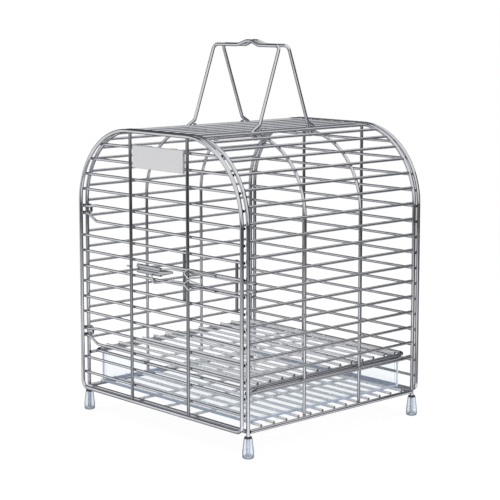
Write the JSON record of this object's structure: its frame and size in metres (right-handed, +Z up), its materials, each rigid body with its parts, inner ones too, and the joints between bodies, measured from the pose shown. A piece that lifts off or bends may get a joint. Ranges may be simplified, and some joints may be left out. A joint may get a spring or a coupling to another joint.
{
  "type": "bird travel carrier",
  "caption": "Arched stainless wire bird carrier with a full-front hinged door, sliding latch, folding wire handle bails, clear droppings tray and floor grate.",
  "frame": {"origin": "on the floor under the middle of the whole cage", "axes": "+X towards the latch side, -Y towards the door, +Z up"},
  "size_m": [0.245, 0.233, 0.362],
  "materials": {
    "cage_wire": "polished stainless steel wire",
    "floor_wire": "electropolished stainless steel wire, a little duller",
    "latch_sheet": "formed and polished stainless sheet",
    "plate_sheet": "fine satin sheet, blank",
    "clear_tray": "clear acrylic with glossy faces and bluish edges",
    "clear_foot_cap": "soft clear vinyl",
    "dark_ring": "dark matt rubber"
  },
  "bodies": {
    "frame": {"base_cross_wires": "floor_wire", "base_front_rail": "cage_wire", "base_left_rail": "cage_wire", "base_rear_rail": "cage_wire", "base_right_rail": "cage_wire", "base_runners": "floor_wire", "droppings_tray": "clear_tray", "front_hoop": "cage_wire", "front_left_foot": "clear_foot_cap", "front_left_foot_collar": "dark_ring", "front_rib": "cage_wire", "front_right_foot": "clear_foot_cap", "front_right_foot_collar": "dark_ring", "grate_cross_wires": "floor_wire", "grate_rim": "floor_wire", "grate_runners": "floor_wire", "left_grate_rail": "cage_wire", "left_shoulder_bars": "cage_wire", "left_side_bars": "cage_wire", "rear_hoop": "cage_wire", "rear_left_foot": "clear_foot_cap", "rear_left_foot_collar": "dark_ring", "rear_panel_bars": "cage_wire", "rear_panel_loop": "cage_wire", "rear_panel_uprights": "cage_wire", "rear_rib": "cage_wire", "rear_right_foot": "clear_foot_cap", "rear_right_foot_collar": "dark_ring", "right_grate_rail": "cage_wire", "right_shoulder_bars": "cage_wire", "right_side_bars": "cage_wire", "roof_bars": "cage_wire"},
    "door": {"door_bars": "cage_wire", "door_loop": "cage_wire", "door_uprights": "cage_wire", "latch_guide_loops": "cage_wire", "latch_guide_posts": "cage_wire", "latch_rest_peg": "cage_wire", "lower_hinge_wire": "cage_wire", "name_plate": "plate_sheet", "upper_hinge_wire": "cage_wire"},
    "latch": {"latch_lower_hook": "cage_wire", "latch_lower_rod": "cage_wire", "latch_thumb_slide": "latch_sheet", "latch_upper_hook": "cage_wire", "latch_upper_rod": "cage_wire"},
    "front_bail": {"front_handle_bail": "cage_wire"},
    "rear_bail": {"rear_handle_bail": "cage_wire"}
  },
  "joints": [
    {"name": "door_hinge", "type": "hinge", "parent": "frame", "child": "door", "pos_m": [-0.1173, -0.10643, 0.15], "axis": [0, 0, -1], "range_deg": [0, 120]},
    {"name": "front_bail_hinge", "type": "hinge", "parent": "frame", "child": "front_bail", "pos_m": [-0.0023, -0.03476, 0.27585], "axis": [1, 0, 0], "range_deg": [0, 105]},
    {"name": "rear_bail_hinge", "type": "hinge", "parent": "frame", "child": "rear_bail", "pos_m": [-0.0023, 0.03691, 0.27585], "axis": [-1, 0, 0], "range_deg": [0, 105]},
    {"name": "latch_slide", "type": "slide", "parent": "door", "child": "latch", "axis": [-1, 0, 0], "range_m": [0, 0.006]}
  ]
}
